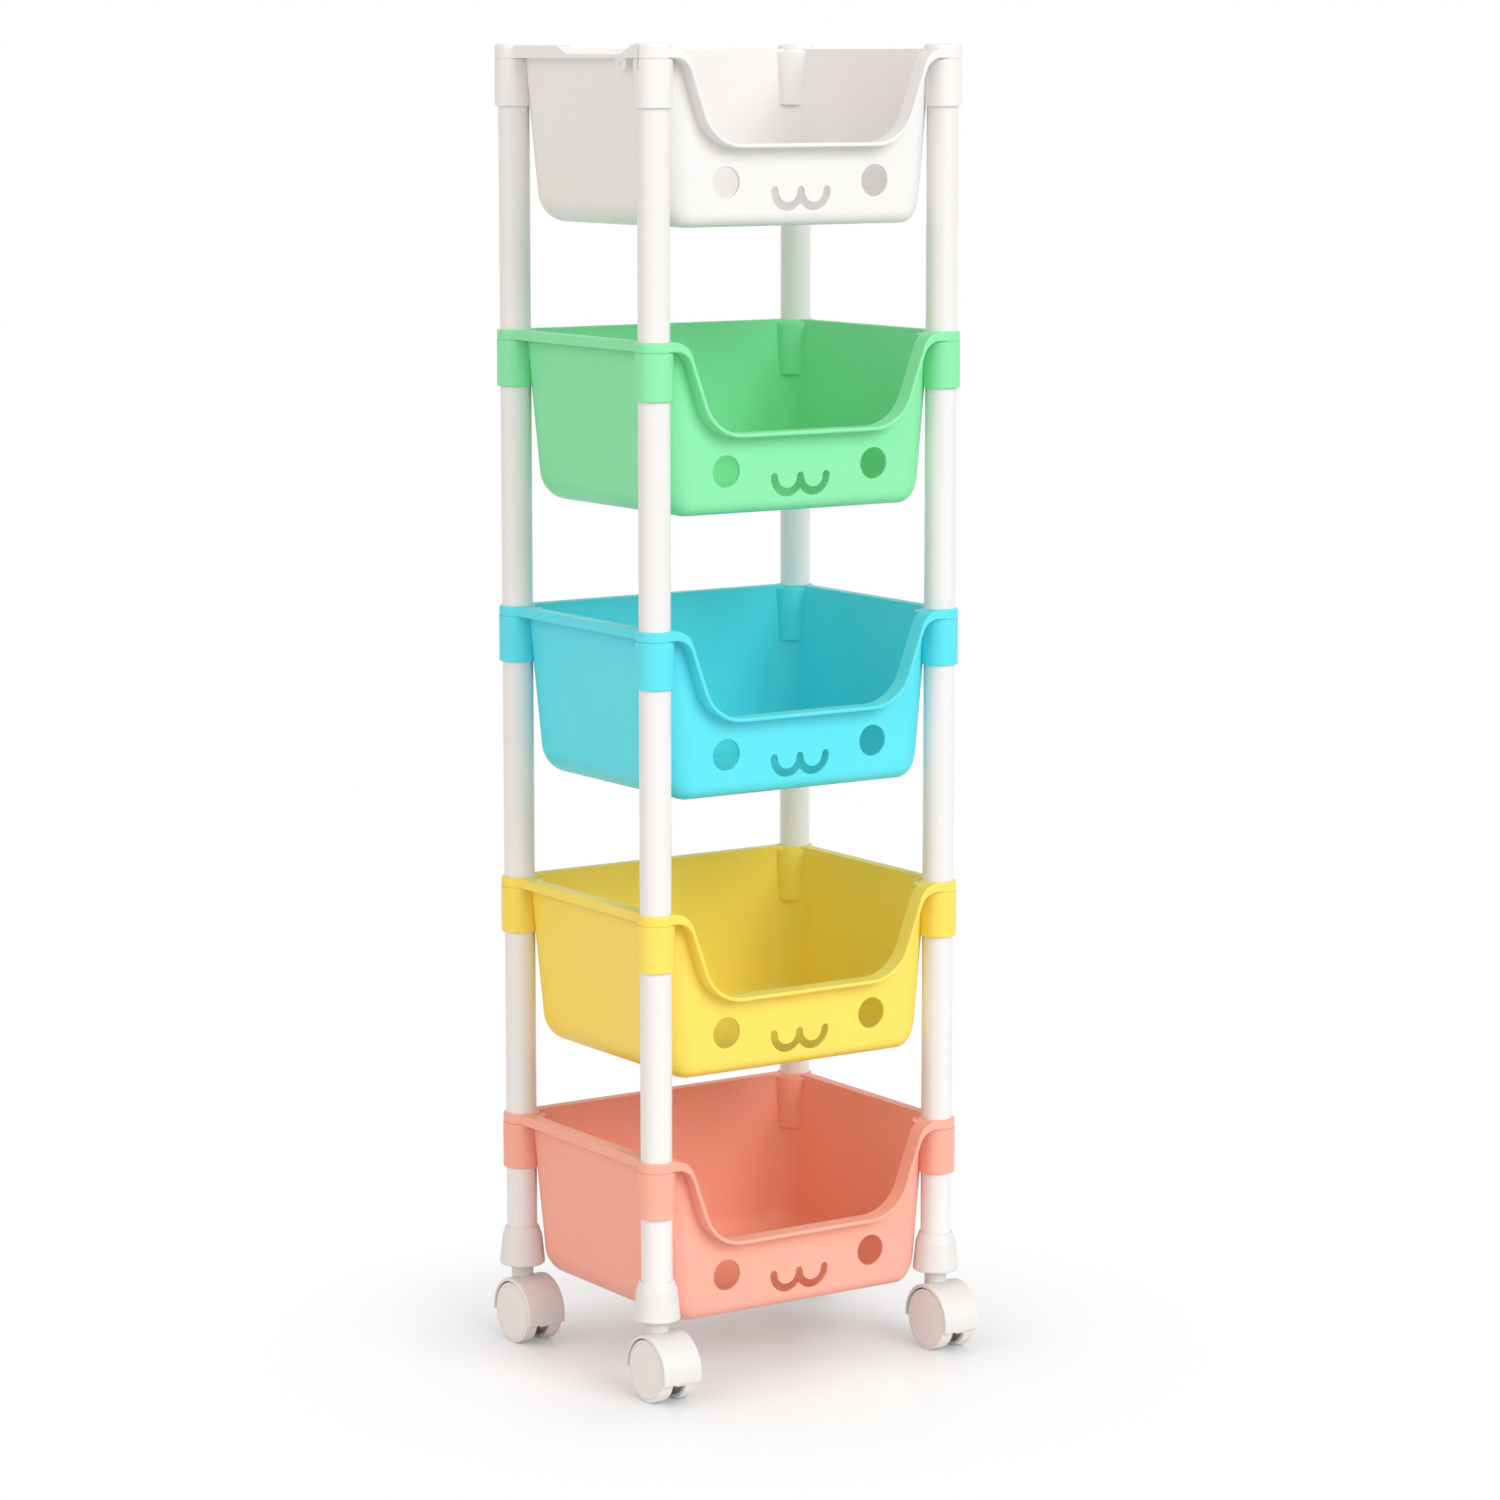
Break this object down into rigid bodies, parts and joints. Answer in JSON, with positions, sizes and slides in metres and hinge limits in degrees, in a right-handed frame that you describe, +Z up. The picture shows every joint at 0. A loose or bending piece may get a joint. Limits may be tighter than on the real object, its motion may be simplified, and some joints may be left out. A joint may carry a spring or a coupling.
{
  "type": "toy shelf",
  "caption": "Tall rolling toy rack: open moulded tubs with cut-out fronts, stacked one above another on round tube posts that stand on swivel casters.",
  "frame": {"origin": "on the floor, in the middle of the four pairs of wheels", "axes": "+Z up along the posts, -Y to the cut-out front, +X to the right seen from the front"},
  "size_m": [0.3094, 0.264, 1.059],
  "materials": {
    "white_plastic": "satin moulded polypropylene",
    "green_plastic": "satin moulded polypropylene",
    "blue_plastic": "satin moulded polypropylene",
    "yellow_plastic": "satin moulded polypropylene",
    "pink_plastic": "satin moulded polypropylene",
    "white_tube": "white powder coat on steel tube",
    "white_fitting": "satin moulded plastic",
    "white_wheel": "satin moulded nylon",
    "steel": "bright zinc-plated steel"
  },
  "bodies": {
    "rack": {"tub_pink": "pink_plastic", "tub_yellow": "yellow_plastic", "tub_blue": "blue_plastic", "tub_green": "green_plastic", "tub_white": "white_plastic", "post_tube_1_front_left": "white_tube", "post_tube_2_front_left": "white_tube", "post_tube_3_front_left": "white_tube", "post_tube_4_front_left": "white_tube", "leg_tube_front_left": "white_tube", "foot_socket_front_left": "white_fitting", "caster_stem_front_left": "steel", "grip_ring_front_left": "steel", "post_tube_1_front_right": "white_tube", "post_tube_2_front_right": "white_tube", "post_tube_3_front_right": "white_tube", "post_tube_4_front_right": "white_tube", "leg_tube_front_right": "white_tube", "foot_socket_front_right": "white_fitting", "caster_stem_front_right": "steel", "grip_ring_front_right": "steel", "post_tube_1_back_left": "white_tube", "post_tube_2_back_left": "white_tube", "post_tube_3_back_left": "white_tube", "post_tube_4_back_left": "white_tube", "leg_tube_back_left": "white_tube", "foot_socket_back_left": "white_fitting", "caster_stem_back_left": "steel", "grip_ring_back_left": "steel", "post_tube_1_back_right": "white_tube", "post_tube_2_back_right": "white_tube", "post_tube_3_back_right": "white_tube", "post_tube_4_back_right": "white_tube", "leg_tube_back_right": "white_tube", "foot_socket_back_right": "white_fitting", "caster_stem_back_right": "steel", "grip_ring_back_right": "steel"},
    "caster_front_left": {"caster_hood_front_left": "white_fitting", "wheel_axle_front_left": "steel"},
    "wheel_front_left_left": {"wheel_front_left_left": "white_wheel"},
    "wheel_front_left_right": {"wheel_front_left_right": "white_wheel"},
    "caster_front_right": {"caster_hood_front_right": "white_fitting", "wheel_axle_front_right": "steel"},
    "wheel_front_right_left": {"wheel_front_right_left": "white_wheel"},
    "wheel_front_right_right": {"wheel_front_right_right": "white_wheel"},
    "caster_back_left": {"caster_hood_back_left": "white_fitting", "wheel_axle_back_left": "steel"},
    "wheel_back_left_left": {"wheel_back_left_left": "white_wheel"},
    "wheel_back_left_right": {"wheel_back_left_right": "white_wheel"},
    "caster_back_right": {"caster_hood_back_right": "white_fitting", "wheel_axle_back_right": "steel"},
    "wheel_back_right_left": {"wheel_back_right_left": "white_wheel"},
    "wheel_back_right_right": {"wheel_back_right_right": "white_wheel"}
  },
  "joints": [
    {"name": "swivel_front_left", "type": "hinge", "parent": "rack", "child": "caster_front_left", "pos_m": [-0.136, -0.093, 0.054], "axis": [0, 0, 1], "continuous": true},
    {"name": "spin_front_left_left", "type": "hinge", "parent": "caster_front_left", "child": "wheel_front_left_left", "pos_m": [-0.136, -0.103, 0.025], "axis": [1, 0, 0], "continuous": true},
    {"name": "spin_front_left_right", "type": "hinge", "parent": "caster_front_left", "child": "wheel_front_left_right", "pos_m": [-0.136, -0.103, 0.025], "axis": [1, 0, 0], "continuous": true},
    {"name": "swivel_front_right", "type": "hinge", "parent": "rack", "child": "caster_front_right", "pos_m": [0.136, -0.093, 0.054], "axis": [0, 0, 1], "continuous": true},
    {"name": "spin_front_right_left", "type": "hinge", "parent": "caster_front_right", "child": "wheel_front_right_left", "pos_m": [0.136, -0.103, 0.025], "axis": [1, 0, 0], "continuous": true},
    {"name": "spin_front_right_right", "type": "hinge", "parent": "caster_front_right", "child": "wheel_front_right_right", "pos_m": [0.136, -0.103, 0.025], "axis": [1, 0, 0], "continuous": true},
    {"name": "swivel_back_left", "type": "hinge", "parent": "rack", "child": "caster_back_left", "pos_m": [-0.136, 0.113, 0.054], "axis": [0, 0, 1], "continuous": true},
    {"name": "spin_back_left_left", "type": "hinge", "parent": "caster_back_left", "child": "wheel_back_left_left", "pos_m": [-0.136, 0.103, 0.025], "axis": [1, 0, 0], "continuous": true},
    {"name": "spin_back_left_right", "type": "hinge", "parent": "caster_back_left", "child": "wheel_back_left_right", "pos_m": [-0.136, 0.103, 0.025], "axis": [1, 0, 0], "continuous": true},
    {"name": "swivel_back_right", "type": "hinge", "parent": "rack", "child": "caster_back_right", "pos_m": [0.136, 0.113, 0.054], "axis": [0, 0, 1], "continuous": true},
    {"name": "spin_back_right_left", "type": "hinge", "parent": "caster_back_right", "child": "wheel_back_right_left", "pos_m": [0.136, 0.103, 0.025], "axis": [1, 0, 0], "continuous": true},
    {"name": "spin_back_right_right", "type": "hinge", "parent": "caster_back_right", "child": "wheel_back_right_right", "pos_m": [0.136, 0.103, 0.025], "axis": [1, 0, 0], "continuous": true}
  ]
}
